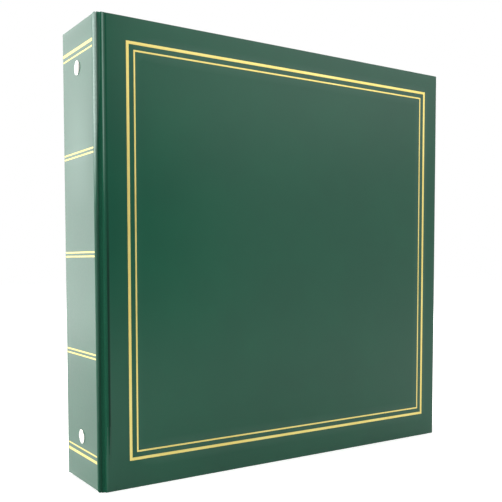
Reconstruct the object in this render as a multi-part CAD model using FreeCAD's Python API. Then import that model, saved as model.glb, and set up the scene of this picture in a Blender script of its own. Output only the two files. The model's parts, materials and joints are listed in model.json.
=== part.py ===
"""Ring-bound stamp album, closed and standing on the lower edges of its covers.

Three boards wrapped in leatherette make the case. Ring metal is riveted inside the spine,
and stock leaves with clear strips hang on its rings.

Millimetres. x runs from the spine's outer face to the fore edge, y from the front cover to the
back cover with 0 midway, z up from the lower edge of the covers. Every piece is moved along x
when it is saved, so that the origin is at the bottom centre of the album.
"""

import FreeCAD
import Part
import math
import os

# Case
COVER_HEIGHT = 300.0
COVER_REACH = 301.3
ALBUM_DEPTH = 54.4
SPINE_SHORT = 1.6
BOARD_THICKNESS = 2.1
BOARD_EDGE_ROUND = 0.35
SKIN_THICKNESS = 0.4
TURN_IN = 15.0
LINER_THICKNESS = 0.3
LINER_MARGIN = 5.0
LINER_PLAY = 0.1
HINGE_GAP = 2.1
HINGE_SHORT = 0.3
HINGE_CLOTH = 0.8
HINGE_PLAY = 0.25

# Gold foil, pressed a little below the skin's surface
FOIL_THICKNESS = 0.08
FOIL_SINK = 0.12
FRAME_TOP = 15.9
FRAME_BOTTOM = 19.1
FRAME_FORE = 14.6
FRAME_SPINE = 22.65
FRAME_STEP = 4.7
OUTER_RULE = 1.95
INNER_RULE = 1.15
BAND_INSET = 16.85
BAND_STEP = 3.85
END_PAIR_MIDDLE = 2.55
PAIR_STEP = 2.6
THICK_BAND = 1.9
THIN_BAND = 1.05
BAND_END_MARGIN = 0.6

# Ring metal: housing, rivets and posts
FITTINGS_RAISE = 1.2
HOUSING_END_MARGIN = 10.4
HOUSING_WIDTH = 20.0
HOUSING_SHEET = 0.8
HOUSING_LIP = 2.0
HOUSING_SIDE = 4.2
HOUSING_ARCH = 3.6
SHOULDER_ROUND = 1.5
RIVET_INSET = 18.5
RIVET_HEAD_RADIUS = 4.6
RIVET_HEAD_HEIGHT = 1.1
RIVET_HEAD_RIM = 0.3
RIVET_RADIUS = 2.0
RIVET_BORE = 1.3
RIVET_BORE_DEPTH = 5.0
RIVET_FLARE_RADIUS = 3.0
RIVET_FLARE_HEIGHT = 0.7
RIVET_PLAY = 0.1
POST_WALL = 1.3

# Ring metal: blades, rings and levers
BLADE_THICKNESS = 1.0
BLADE_PLAY = 0.3
BLADE_MIDDLE_GAP = 0.8
BLADE_NOTCH_PLAY = 0.6
BLADE_SWING = 12.0
RING_COUNT = 3
RING_INSET = 30.0
RING_RADIUS = 17.75
RING_WIRE = 3.5
RING_TIP_GAP = 0.2
RING_FOOT_TURN = 10.0
RING_NOTCH_PLAY = 0.75
RING_NOTCH_REACH = 4.5
TIP_PEG_RADIUS = 0.8
TIP_PEG_LENGTH = 1.0
TIP_PEG_PLAY = 0.3
PIN_RADIUS = 1.0
PIN_INSET = 4.0
PIN_HOLE_PLAY = 0.02
LEVER_BORE_PLAY = 0.05
LEVER_PLAY = 0.3
LEVER_WIDTH = 10.0
LEVER_EYE = 2.0
LEVER_TAB_LENGTH = 16.0
LEVER_TAB_THICKNESS = 1.4
LEVER_TAB_LEAN = 6.0
LEVER_TAB_CORNER = 3.5
LEVER_BEAD = 1.1
HEEL_WIDTH = 3.0
HEEL_THICKNESS = 0.8
HEEL_REACH = 3.0

# Stock leaves
LEAVES_PER_SIDE = 4
LEAF_PITCH = 2.6
LEAF_THICKNESS = 0.8
LEAF_FORE_MARGIN = 12.0
LEAF_END_MARGIN = 10.0
LEAF_CORNER = 5.0
HOLE_WIDTH = 6.5
HOLE_LENGTH = 10.2
HOLE_EDGE = 5.5
HOLE_PLAY = 1.1
LEAF_SEAT = 0.3
STRIP_ROWS = 5
STRIP_THICKNESS = 0.2
STRIP_GAP = 9.0
STRIP_END_MARGIN = 7.0
STRIP_FORE_MARGIN = 6.0
STRIP_BINDING_MARGIN = 22.0

# Worked out from the sizes above
FRONT = -1
BACK = 1
HALF_DEPTH = ALBUM_DEPTH / 2
PANEL = BOARD_THICKNESS + 2 * SKIN_THICKNESS
EDGE_X = PANEL / 2
EDGE_Y = HALF_DEPTH - PANEL / 2
COVER_START = PANEL + HINGE_GAP
SPINE_BOTTOM = SPINE_SHORT
SPINE_TOP = COVER_HEIGHT - SPINE_SHORT
LINED_X = PANEL + LINER_THICKNESS
ORIGIN_X = (COVER_REACH - RIVET_HEAD_HEIGHT) / 2

FITTINGS_Z = COVER_HEIGHT / 2 + FITTINGS_RAISE
SPINE_HALF = (SPINE_TOP - SPINE_BOTTOM) / 2
BAND_REACH = SPINE_HALF - BAND_INSET
BAND_PITCH = (BAND_REACH - END_PAIR_MIDDLE) / 2
HOUSING_HALF = SPINE_HALF - HOUSING_END_MARGIN
HOUSING_Y = HOUSING_WIDTH / 2
SHOULDER_X = LINED_X + HOUSING_SIDE
CROWN_X = SHOULDER_X + HOUSING_ARCH
RIVET_Z = [FITTINGS_Z + end * (HOUSING_HALF - RIVET_INSET) for end in (-1, 1)]
RIVET_HOLE = RIVET_RADIUS + RIVET_PLAY
POST_RADIUS = RIVET_HOLE + POST_WALL
RING_PITCH = 2 * (HOUSING_HALF - RING_INSET) / (RING_COUNT - 1)
RING_Z = [FITTINGS_Z + (k - (RING_COUNT - 1) / 2) * RING_PITCH for k in range(RING_COUNT)]
PIN_X = LINED_X + LEVER_PLAY + LEVER_EYE
PIN_OFFSET = HOUSING_HALF - PIN_INSET
BLADE_TILT = BLADE_SWING / 2
PIVOT_Y = HOUSING_Y - HOUSING_SHEET - BLADE_PLAY - BLADE_THICKNESS / 2
BLADE_REACH = PIVOT_Y - BLADE_MIDDLE_GAP / 2
HEEL_TOP_X = LINED_X + LEVER_PLAY + HEEL_THICKNESS
PIVOT_X = HEEL_TOP_X + LEVER_PLAY + BLADE_REACH * math.sin(math.radians(BLADE_TILT)) + BLADE_THICKNESS / 2
RING_X = PIVOT_X + math.sqrt(RING_RADIUS ** 2 - PIVOT_Y ** 2)
RING_TURN = 180 - math.degrees(math.asin(PIVOT_Y / RING_RADIUS)) + RING_FOOT_TURN
WIRE_RADIUS = RING_WIRE / 2
LEAF_DROP = HOLE_WIDTH / 2 - WIRE_RADIUS - LEAF_SEAT


def point(x, y, z):
    return FreeCAD.Vector(x, y, z)


ALONG_X = point(1, 0, 0)
ALONG_Y = point(0, 1, 0)
ALONG_Z = point(0, 0, 1)


def slab(xs, ys, zs):
    """Box between two values on each axis, given in either order."""
    low = point(min(xs), min(ys), min(zs))
    high = point(max(xs), max(ys), max(zs))
    size = high - low
    return Part.makeBox(size.x, size.y, size.z, low)


def prism(edges, z0, z1):
    """Solid swept upwards from a closed outline that is drawn at height z0."""
    return Part.Face(Part.Wire(edges)).extrude(point(0, 0, z1 - z0))


def line(a, b):
    return Part.LineSegment(a, b).toShape()


def arc(a, b, c):
    return Part.Arc(a, b, c).toShape()


def rod(radius, start, end):
    """Cylinder from one point to another."""
    way = end - start
    return Part.makeCylinder(radius, way.Length, start, way)


def rounded(solid, radius, edges):
    return solid.makeFillet(radius, edges)


def save(name, *solids):
    """Write one node, moved so that the album's bottom centre is the origin."""
    shape = solids[0] if len(solids) == 1 else Part.makeCompound(list(solids))
    shape = shape.copy()
    shape.translate(point(-ORIGIN_X, 0, 0))
    shape.exportStep("parts/" + name + ".step")


# Covers: a board, its leatherette skin turned in over all edges, and a paper liner inside

def edge_round(inset):
    """Rounding of a wrapped edge: the board's own, and the skin's thickness outside it."""
    return min(BOARD_EDGE_ROUND, 0.4 * BOARD_THICKNESS) + SKIN_THICKNESS - inset


def cover_form(side, inset):
    """Cover outline drawn in by inset on every face."""
    xs = (COVER_START + inset, COVER_REACH - inset)
    ys = (side * (HALF_DEPTH - inset), side * (HALF_DEPTH - PANEL + inset))
    form = slab(xs, ys, (inset, COVER_HEIGHT - inset))
    return rounded(form, edge_round(inset), form.Edges)


def cover_window(side, play, depth):
    """Field inside the turned-in edges, from the board's inner face towards the leaves."""
    margin = TURN_IN + play
    board_face = HALF_DEPTH - PANEL + SKIN_THICKNESS
    xs = (COVER_START + margin, COVER_REACH - margin)
    return slab(xs, (side * board_face, side * (board_face - depth)), (margin, COVER_HEIGHT - margin))


def cover_skin(side, board):
    return cover_form(side, 0).cut(board).cut(cover_window(side, 0, PANEL))


def cover_liner(side):
    """Sheet over the turned-in edges, filling the field that they leave on the board."""
    face = HALF_DEPTH - PANEL
    xs = (COVER_START + LINER_MARGIN, COVER_REACH - LINER_MARGIN)
    sheet = slab(xs, (side * face, side * (face - LINER_THICKNESS)), (LINER_MARGIN, COVER_HEIGHT - LINER_MARGIN))
    return sheet.fuse(cover_window(side, LINER_PLAY, SKIN_THICKNESS)).removeSplitter()


def frame_rule(step, width, depth):
    """One rectangular rule of the front frame, from the cover's face down to depth."""
    ys = (-HALF_DEPTH - FOIL_SINK, -HALF_DEPTH + depth)

    def field(grow):
        xs = (FRAME_SPINE + step - grow, COVER_REACH - FRAME_FORE - step + grow)
        return slab(xs, ys, (FRAME_BOTTOM + step - grow, COVER_HEIGHT - FRAME_TOP - step + grow))

    return field(width / 2).cut(field(-width / 2))


FRAME_RULES = [(0, OUTER_RULE), (FRAME_STEP, INNER_RULE)]

front_board = cover_form(FRONT, SKIN_THICKNESS)
front_skin = cover_skin(FRONT, front_board)
front_foil = []
for step, width in FRAME_RULES:
    pressed = frame_rule(step, width, FOIL_SINK)
    front_skin = front_skin.cut(pressed)
    bare = frame_rule(step, width, FOIL_SINK - FOIL_THICKNESS)
    front_foil.append(pressed.cut(bare))

back_board = cover_form(BACK, SKIN_THICKNESS)


# Hinges: a narrow web of cloth between the spine's round edge and the edge of each cover

def hinge_cloth(side):
    y = side * EDGE_Y
    ys = (y - HINGE_CLOTH / 2, y + HINGE_CLOTH / 2)
    zs = (HINGE_SHORT, COVER_HEIGHT - HINGE_SHORT)
    web = slab((EDGE_X, COVER_START), ys, zs)
    return web.cut(rod(PANEL / 2 + HINGE_PLAY, point(EDGE_X, y, zs[0]), point(EDGE_X, y, zs[1])))


# Spine: a board with full-round long edges, its skin, its liner and five gold bands

def spine_form(inset):
    """Spine outline drawn in by inset: a flat strip with a half-round at each long edge."""
    z0 = SPINE_BOTTOM + inset
    z1 = SPINE_TOP - inset
    outer = inset
    inner = PANEL - inset
    tip = HALF_DEPTH - inset
    outline = [
        line(point(outer, -EDGE_Y, z0), point(outer, EDGE_Y, z0)),
        arc(point(outer, EDGE_Y, z0), point(EDGE_X, tip, z0), point(inner, EDGE_Y, z0)),
        line(point(inner, EDGE_Y, z0), point(inner, -EDGE_Y, z0)),
        arc(point(inner, -EDGE_Y, z0), point(EDGE_X, -tip, z0), point(outer, -EDGE_Y, z0)),
    ]
    form = prism(outline, z0, z1)
    ends = [edge for edge in form.Edges if edge.BoundBox.ZLength < BOARD_THICKNESS]
    return rounded(form, edge_round(inset), ends)


def spine_window(play, depth):
    margin = TURN_IN + play
    half = EDGE_Y - margin
    x = PANEL - SKIN_THICKNESS
    return slab((x, x + depth), (-half, half), (SPINE_BOTTOM + margin, SPINE_TOP - margin))


def band(z, width, depth):
    half = EDGE_Y - BAND_END_MARGIN
    return slab((-FOIL_SINK, depth), (-half, half), (z - width / 2, z + width / 2))


def band_list():
    """Height and width of every gold line: a thick and a thin at each end, three thin pairs between."""
    lines = []
    for end in (-1, 1):
        lines.append((FITTINGS_Z + end * BAND_REACH, THICK_BAND))
        lines.append((FITTINGS_Z + end * (BAND_REACH - BAND_STEP), THIN_BAND))
    for row in (-1, 0, 1):
        for half in (-0.5, 0.5):
            lines.append((FITTINGS_Z + row * BAND_PITCH + half * PAIR_STEP, THIN_BAND))
    return lines


def rivet_bores(x0, x1):
    return [rod(RIVET_HOLE, point(x0, 0, z), point(x1, 0, z)) for z in RIVET_Z]


def drilled(solid):
    """Clear the rivets' way through a sheet or board of the spine."""
    return solid.cut(Part.makeCompound(rivet_bores(-PANEL, 2 * LINED_X)))


spine_core = spine_form(SKIN_THICKNESS)
spine_skin = drilled(spine_form(0).cut(spine_core).cut(spine_window(0, PANEL)))
spine_foil = []
for height, width in band_list():
    pressed = band(height, width, FOIL_SINK)
    spine_skin = spine_skin.cut(pressed)
    spine_foil.append(pressed.cut(band(height, width, FOIL_SINK - FOIL_THICKNESS)))

liner_half = EDGE_Y - LINER_MARGIN
liner_zs = (SPINE_BOTTOM + LINER_MARGIN, SPINE_TOP - LINER_MARGIN)
spine_sheet = slab((PANEL, LINED_X), (-liner_half, liner_half), liner_zs)
spine_liner = drilled(spine_sheet.fuse(spine_window(LINER_PLAY, SKIN_THICKNESS)).removeSplitter())


# Ring housing: an arched channel with straight sides and lips that hold the blades

def arch_form(half, base, shoulder, crown, round_radius):
    """Channel section with straight sides, rounded shoulders and an arched top."""
    z0 = FITTINGS_Z - HOUSING_HALF
    outline = [
        line(point(base, half, z0), point(base, -half, z0)),
        line(point(base, -half, z0), point(shoulder, -half, z0)),
        arc(point(shoulder, -half, z0), point(crown, 0, z0), point(shoulder, half, z0)),
        line(point(shoulder, half, z0), point(base, half, z0)),
    ]
    form = prism(outline, z0, FITTINGS_Z + HOUSING_HALF)
    corners = [
        edge for edge in form.Edges
        if edge.BoundBox.ZLength > HOUSING_HALF and edge.BoundBox.XMin > (base + shoulder) / 2
    ]
    return rounded(form, round_radius, corners)


def ring_notches():
    """Openings in the sides and shoulders where the rings come out."""
    half = WIRE_RADIUS + RING_NOTCH_PLAY
    top = RING_X - math.sqrt((RING_RADIUS - WIRE_RADIUS) ** 2 - HOUSING_Y ** 2) + RING_NOTCH_PLAY
    cuts = []
    for z in RING_Z:
        for side in (FRONT, BACK):
            ys = (side * (HOUSING_Y - RING_NOTCH_REACH), side * (HOUSING_Y + HOUSING_SHEET))
            cuts.append(slab((LINED_X - HOUSING_SHEET, top), ys, (z - half, z + half)))
    return cuts


def lever_slots():
    """Open ends of the housing, where each lever swings between its sides."""
    half = LEVER_WIDTH / 2 + LEVER_PLAY
    reach = PIN_INSET + LEVER_EYE + LEVER_PLAY
    cuts = []
    for end in (-1, 1):
        z = FITTINGS_Z + end * HOUSING_HALF
        zs = (z - end * reach, z + end * HOUSING_SHEET)
        cuts.append(slab((LINED_X - HOUSING_SHEET, CROWN_X + HOUSING_SHEET), (-half, half), zs))
    return cuts


def lever_pin(end, radius):
    z = FITTINGS_Z + end * PIN_OFFSET
    return rod(radius, point(PIN_X, -HOUSING_Y, z), point(PIN_X, HOUSING_Y, z))


def ring_housing():
    sheet = HOUSING_SHEET
    outer = arch_form(HOUSING_Y, LINED_X, SHOULDER_X, CROWN_X, SHOULDER_ROUND)
    inner = arch_form(HOUSING_Y - sheet, LINED_X + sheet, SHOULDER_X, CROWN_X - sheet, SHOULDER_ROUND - sheet)
    mouth = HOUSING_Y - HOUSING_LIP
    open_base = slab((LINED_X - sheet, LINED_X + 2 * sheet), (-mouth, mouth), (0, COVER_HEIGHT))
    cuts = [inner, open_base] + ring_notches() + lever_slots() + rivet_bores(LINED_X, 2 * CROWN_X)
    cuts += [lever_pin(end, PIN_RADIUS + PIN_HOLE_PLAY) for end in (-1, 1)]
    housing = outer
    for cut in cuts:
        housing = housing.cut(cut)
    return housing


# Rivets and posts: a domed head on the spine, a hollow shank, and a flare on the housing's crown

def rivet(z):
    outer = -RIVET_HEAD_HEIGHT
    rim = -RIVET_HEAD_RIM
    flare = CROWN_X + RIVET_FLARE_HEIGHT
    bore_floor = flare - RIVET_BORE_DEPTH
    share = math.sqrt(0.5)
    crown_rise = RIVET_HEAD_HEIGHT - RIVET_HEAD_RIM
    dome_radius = (RIVET_HEAD_RADIUS ** 2 + crown_rise ** 2) / (2 * crown_rise)
    shoulder = RIVET_HEAD_RADIUS * share
    shoulder_x = outer + dome_radius - math.sqrt(dome_radius ** 2 - shoulder ** 2)

    def at(x, radius):
        return point(x, radius, z)

    outline = [
        arc(at(outer, 0), at(shoulder_x, shoulder), at(rim, RIVET_HEAD_RADIUS)),
        line(at(rim, RIVET_HEAD_RADIUS), at(0, RIVET_HEAD_RADIUS)),
        line(at(0, RIVET_HEAD_RADIUS), at(0, RIVET_RADIUS)),
        line(at(0, RIVET_RADIUS), at(CROWN_X, RIVET_RADIUS)),
        line(at(CROWN_X, RIVET_RADIUS), at(CROWN_X, RIVET_FLARE_RADIUS)),
        line(at(CROWN_X, RIVET_FLARE_RADIUS), at(flare, RIVET_BORE + (RIVET_FLARE_RADIUS - RIVET_BORE) / 2)),
        line(at(flare, RIVET_BORE + (RIVET_FLARE_RADIUS - RIVET_BORE) / 2), at(flare, RIVET_BORE)),
        line(at(flare, RIVET_BORE), at(bore_floor, RIVET_BORE)),
        line(at(bore_floor, RIVET_BORE), at(bore_floor, 0)),
        line(at(bore_floor, 0), at(outer, 0)),
    ]
    return Part.Face(Part.Wire(outline)).revolve(point(0, 0, z), ALONG_X, 360)


def mounting_post(z):
    """Spacer tube round a rivet, from the spine's liner to the underside of the crown."""
    arch_radius = (HOUSING_Y ** 2 + HOUSING_ARCH ** 2) / (2 * HOUSING_ARCH) - HOUSING_SHEET
    drop = arch_radius - math.sqrt(arch_radius ** 2 - POST_RADIUS ** 2)
    top = CROWN_X - HOUSING_SHEET - drop
    tube = rod(POST_RADIUS, point(LINED_X, 0, z), point(top, 0, z))
    return tube.cut(rod(RIVET_HOLE, point(0, 0, z), point(CROWN_X, 0, z)))


# Blades and rings: each blade turns about its outer edge and carries one half of every ring

def tilted(solid, side):
    """Turn a blade from flat to its closed place, with its inner edge nearer the spine."""
    turned = solid.copy()
    turned.rotate(point(PIVOT_X, side * PIVOT_Y, 0), ALONG_Z, -side * BLADE_TILT)
    return turned


def half_ring(side, z):
    """Half of a ring: wire bent round the ring's centre, staked through the blade and flush under it."""
    start = math.degrees(math.asin(RING_TIP_GAP / 2 / RING_RADIUS))
    section = Part.Face(Part.Wire(Part.makeCircle(WIRE_RADIUS, point(RING_X + RING_RADIUS, 0, z), ALONG_Y)))
    section.rotate(point(RING_X, 0, z), ALONG_Z, side * start)
    ring = section.revolve(point(RING_X, 0, z), ALONG_Z, side * (RING_TURN - start))
    below = slab(
        (PIVOT_X - BLADE_THICKNESS / 2, -RING_RADIUS),
        (-side * RING_RADIUS, side * 2 * RING_RADIUS),
        (z - RING_WIRE, z + RING_WIRE),
    )
    ring = ring.cut(tilted(below, side))
    meeting = point(RING_X + RING_RADIUS, 0, z)
    if side == FRONT:
        root = meeting - ALONG_Y * RING_TIP_GAP
        return ring.fuse(rod(TIP_PEG_RADIUS, root, meeting + ALONG_Y * TIP_PEG_LENGTH)).removeSplitter()
    floor = meeting + ALONG_Y * (TIP_PEG_LENGTH + TIP_PEG_PLAY)
    return ring.cut(rod(TIP_PEG_RADIUS + TIP_PEG_PLAY, meeting, floor))


def blade(side, rings):
    half = PIN_OFFSET - LEVER_EYE - LEVER_PLAY
    zs = (FITTINGS_Z - half, FITTINGS_Z + half)
    outer = side * PIVOT_Y
    inner = side * (PIVOT_Y - BLADE_REACH)
    plate = slab((PIVOT_X - BLADE_THICKNESS / 2, PIVOT_X + BLADE_THICKNESS / 2), (outer, inner), zs)
    edge = rod(BLADE_THICKNESS / 2, point(PIVOT_X, outer, zs[0]), point(PIVOT_X, outer, zs[1]))
    plate = tilted(plate.fuse(edge).removeSplitter(), side)
    for z in RIVET_Z:
        plate = plate.cut(rod(POST_RADIUS + BLADE_NOTCH_PLAY, point(0, 0, z), point(CROWN_X, 0, z)))
    for ring in rings:
        plate = plate.cut(ring)
    return plate


# Levers: an eye on the pin, a finger tab that stands off the spine, and a heel under the blades

def lever(end):
    z = FITTINGS_Z + end * PIN_OFFSET
    half = LEVER_WIDTH / 2
    axis_start = point(PIN_X, -half, z)
    axis_end = point(PIN_X, half, z)
    tip_x = PIN_X + LEVER_TAB_LENGTH
    tab_half = LEVER_TAB_THICKNESS / 2
    tab = slab((PIN_X, tip_x), (-half, half), (z - tab_half, z + tab_half))
    corners = [
        edge for edge in tab.Edges
        if edge.BoundBox.XMin > PIN_X + LEVER_EYE and edge.BoundBox.ZLength > tab_half
    ]
    tab = rounded(tab, min(LEVER_TAB_CORNER, 0.45 * LEVER_WIDTH), corners)
    bead_half = half - min(LEVER_TAB_CORNER, 0.45 * LEVER_WIDTH)
    bead_x = tip_x - LEVER_BEAD
    bead = rod(LEVER_BEAD, point(bead_x, -bead_half, z), point(bead_x, bead_half, z))
    finger = tab.fuse(bead)
    finger.rotate(point(PIN_X, 0, z), ALONG_Y, -end * LEVER_TAB_LEAN)
    heel_x = (HEEL_TOP_X - HEEL_THICKNESS, HEEL_TOP_X)
    heel = slab(heel_x, (-HEEL_WIDTH / 2, HEEL_WIDTH / 2), (z, z - end * HEEL_REACH))
    whole = rod(LEVER_EYE, axis_start, axis_end).fuse([finger, heel]).removeSplitter()
    return whole.cut(lever_pin(end, PIN_RADIUS + LEVER_BORE_PLAY))


# Stock leaves: punched cards with clear strips on both faces

def wire_near_side(y):
    """Distance from the ring's centre to the near side of the wire where it passes a leaf at y."""
    deepest = abs(y) + LEAF_THICKNESS / 2
    return math.sqrt((RING_RADIUS - WIRE_RADIUS) ** 2 - deepest ** 2)


def binding_edge(y):
    """Place of a leaf's punched edge, so that the wire lies at the near end of its holes."""
    return RING_X + wire_near_side(y) - HOLE_PLAY - HOLE_EDGE


LEAF_WIDTH = COVER_REACH - LEAF_FORE_MARGIN - binding_edge(LEAF_PITCH / 2)
LEAF_BOTTOM = LEAF_END_MARGIN - LEAF_DROP
LEAF_TOP = COVER_HEIGHT - LEAF_END_MARGIN - LEAF_DROP


def leaf_card(y):
    ys = (y - LEAF_THICKNESS / 2, y + LEAF_THICKNESS / 2)
    edge = binding_edge(y)
    card = slab((edge, edge + LEAF_WIDTH), ys, (LEAF_BOTTOM, LEAF_TOP))
    corners = [side for side in card.Edges if side.BoundBox.YLength > LEAF_THICKNESS / 2]
    card = rounded(card, LEAF_CORNER, corners)
    near = edge + HOLE_EDGE
    for z in RING_Z:
        middle = z - LEAF_DROP
        hole = slab((near, near + HOLE_LENGTH), ys, (middle - HOLE_WIDTH / 2, middle + HOLE_WIDTH / 2))
        ends = [side for side in hole.Edges if side.BoundBox.YLength > LEAF_THICKNESS / 2]
        card = card.cut(rounded(hole, 0.49 * min(HOLE_WIDTH, HOLE_LENGTH), ends))
    return card


def leaf_strips(y):
    """Rows of clear strips, the same on both faces of a card."""
    edge = binding_edge(y)
    xs = (edge + STRIP_BINDING_MARGIN, edge + LEAF_WIDTH - STRIP_FORE_MARGIN)
    first = LEAF_BOTTOM + STRIP_END_MARGIN
    pitch = (LEAF_TOP - LEAF_BOTTOM - 2 * STRIP_END_MARGIN + STRIP_GAP) / STRIP_ROWS
    strips = []
    for face in (-1, 1):
        card_face = y + face * LEAF_THICKNESS / 2
        ys = (card_face, card_face + face * STRIP_THICKNESS)
        for row in range(STRIP_ROWS):
            low = first + row * pitch
            strips.append(slab(xs, ys, (low, low + pitch - STRIP_GAP)))
    return strips


os.makedirs("parts", exist_ok=True)

save("front_board", front_board)
save("front_skin", front_skin)
save("front_liner", cover_liner(FRONT))
save("front_foil_frame", *front_foil)
save("front_hinge_cloth", hinge_cloth(FRONT))

save("back_board", back_board)
save("back_skin", cover_skin(BACK, back_board))
save("back_liner", cover_liner(BACK))
save("back_hinge_cloth", hinge_cloth(BACK))

save("spine_board", drilled(spine_core))
save("spine_skin", spine_skin)
save("spine_liner", spine_liner)
save("spine_foil_bands", *spine_foil)

save("ring_housing", ring_housing())
for name, z in zip(("lower", "upper"), RIVET_Z):
    save(name + "_rivet", rivet(z))
    save(name + "_mounting_post", mounting_post(z))
for name, end in (("lower", -1), ("upper", 1)):
    save(name + "_lever_pin", lever_pin(end, PIN_RADIUS))
    save(name + "_lever", lever(end))

for name, side in (("front", FRONT), ("back", BACK)):
    half_rings = [half_ring(side, z) for z in RING_Z]
    save(name + "_half_rings", *half_rings)
    save(name + "_blade", blade(side, half_rings))
    for number in range(LEAVES_PER_SIDE):
        leaf_y = side * (number + 0.5) * LEAF_PITCH
        leaf_name = name + "_leaf_" + str(number + 1)
        save(leaf_name + "_card", leaf_card(leaf_y))
        save(leaf_name + "_strips", *leaf_strips(leaf_y))
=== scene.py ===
import json
import math

import bmesh
import bpy
import numpy as np
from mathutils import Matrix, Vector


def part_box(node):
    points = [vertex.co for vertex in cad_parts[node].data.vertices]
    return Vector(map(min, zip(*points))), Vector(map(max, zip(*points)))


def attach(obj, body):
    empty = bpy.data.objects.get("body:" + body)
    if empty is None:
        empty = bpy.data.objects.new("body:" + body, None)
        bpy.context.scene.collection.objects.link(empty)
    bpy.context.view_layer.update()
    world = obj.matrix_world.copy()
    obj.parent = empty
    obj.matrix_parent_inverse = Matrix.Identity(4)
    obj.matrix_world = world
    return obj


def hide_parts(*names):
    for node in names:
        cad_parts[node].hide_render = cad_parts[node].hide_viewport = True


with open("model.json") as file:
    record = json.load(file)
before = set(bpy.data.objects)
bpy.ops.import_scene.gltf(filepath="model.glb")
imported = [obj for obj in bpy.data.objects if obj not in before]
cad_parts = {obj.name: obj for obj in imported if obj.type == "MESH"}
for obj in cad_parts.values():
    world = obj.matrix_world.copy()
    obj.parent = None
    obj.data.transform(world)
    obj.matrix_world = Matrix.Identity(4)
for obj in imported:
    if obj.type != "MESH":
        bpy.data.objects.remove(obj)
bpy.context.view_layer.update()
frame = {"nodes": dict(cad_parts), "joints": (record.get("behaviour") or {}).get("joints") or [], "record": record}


# Boards: one piece of grey chipboard in each cover and in the spine.
# It is pressed from waste paper, so lighter and darker flecks lie in it at random and its face is dull.

MM = 0.001


def linear(hex_colour):
    """sRGB hex as linear RGBA: c / 12.92 in the toe, ((c + 0.055) / 1.055) ** 2.4 above it."""
    channel = np.array([int(hex_colour[i:i + 2], 16) for i in (1, 3, 5)]) / 255
    value = np.where(channel <= 0.04045, channel / 12.92, ((channel + 0.055) / 1.055) ** 2.4)
    return (*value.tolist(), 1.0)


def per_mm(size):
    """Scale of a pattern on Object coordinates, which are metres, for one feature per size in mm."""
    return 1 / (size * MM)


def set_sockets(tree, node, sockets):
    """Give a node's inputs, by name or number, a value or the output of another node."""
    for key, value in sockets.items():
        if isinstance(value, bpy.types.NodeSocket):
            tree.links.new(value, node.inputs[key])
        else:
            node.inputs[key].default_value = value


def add_node(tree, kind, sockets, **settings):
    """Add one shader node with its settings, values and links."""
    node = tree.nodes.new("ShaderNode" + kind)
    for key, value in settings.items():
        setattr(node, key, value)
    set_sockets(tree, node, sockets)
    return node


def start_material(name):
    """New material: its node tree, its shader and the Object coordinates that its patterns use."""
    material = bpy.data.materials.new(name)
    material.use_nodes = True
    tree = material.node_tree
    place = add_node(tree, "TexCoord", {}).outputs["Object"]
    return material, tree, tree.nodes["Principled BSDF"], place


def dress(material, *nodes):
    """Give CAD nodes that keep their shape a material."""
    for name in nodes:
        mesh = frame["nodes"][name].data
        mesh.materials.clear()
        mesh.materials.append(material)


chipboard, tree, shader, place = start_material("grey_chipboard")
fibres = add_node(tree, "TexNoise", {"Vector": place, "Scale": per_mm(1.5), "Detail": 5.0})
tone = add_node(tree, "Mix", {0: fibres.outputs["Fac"], 6: linear("#5f5a52"), 7: linear("#8f887b")},
                data_type="RGBA")
rough_face = add_node(tree, "Bump", {"Height": fibres.outputs["Fac"], "Distance": 0.05 * MM})
set_sockets(tree, shader, {"Base Color": tone.outputs[2], "Roughness": 0.95, "IOR": 1.45,
                           "Normal": rough_face.outputs["Normal"]})
dress(chipboard, "front_board", "back_board", "spine_board")


# Skins: green leatherette, a coated fabric of 0.4 mm, is glued over each board.
# Its edges are turned in over the board's rounded edges, so it ends out of sight under the liner.
# The rules and bands are hot-pressed, which leaves a shallow channel under the foil.

SKIN = 0.4
PRESSED = 0.12
CHANNEL_WALL = 0.04
EDGE_FLATNESS = 0.7
EDGE_SPREAD = 0.3


def rise(value, start, end):
    """Share that goes from 0 at start to 1 at end, and stays level beyond them. Start may be the larger."""
    return np.clip((value - start) / (end - start), 0, 1)


def round_lines(edge):
    """Five lines over a rounded edge, as distances from the sharp edge.

    A line at edge * (1 - tan(angle)) from the sharp edge comes out at that angle on the round.
    """
    return edge * (1 - np.tan(np.radians(np.linspace(45, 0, 5))))


def grid_lines(low, high, edge, marks, pitch):
    """Lines from low to high: five over each rounded edge, one at every mark, and never wider than pitch."""
    turn = round_lines(edge)
    fixed = np.unique(np.round(np.concatenate([low + turn, high - turn, marks]), 4))
    runs = [np.linspace(a, b, int(np.ceil((b - a) / pitch)) + 1)[:-1] for a, b in zip(fixed[:-1], fixed[1:])]
    return np.append(np.concatenate(runs), fixed[-1])


def channel_marks(middle, width):
    """Lines beside both edges of a pressed channel, CHANNEL_WALL to either side of the edge."""
    return [middle + side * width / 2 + wall for side in (-1, 1) for wall in (-CHANNEL_WALL, CHANNEL_WALL)]


def tube_quads(ring):
    """Quads between each ring of point numbers and the next one, every ring closed on itself."""
    after = np.roll(ring, -1, axis=1)
    return np.stack([ring[:-1], ring[1:], after[1:], after[:-1]], axis=-1).reshape(-1, 4)


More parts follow.
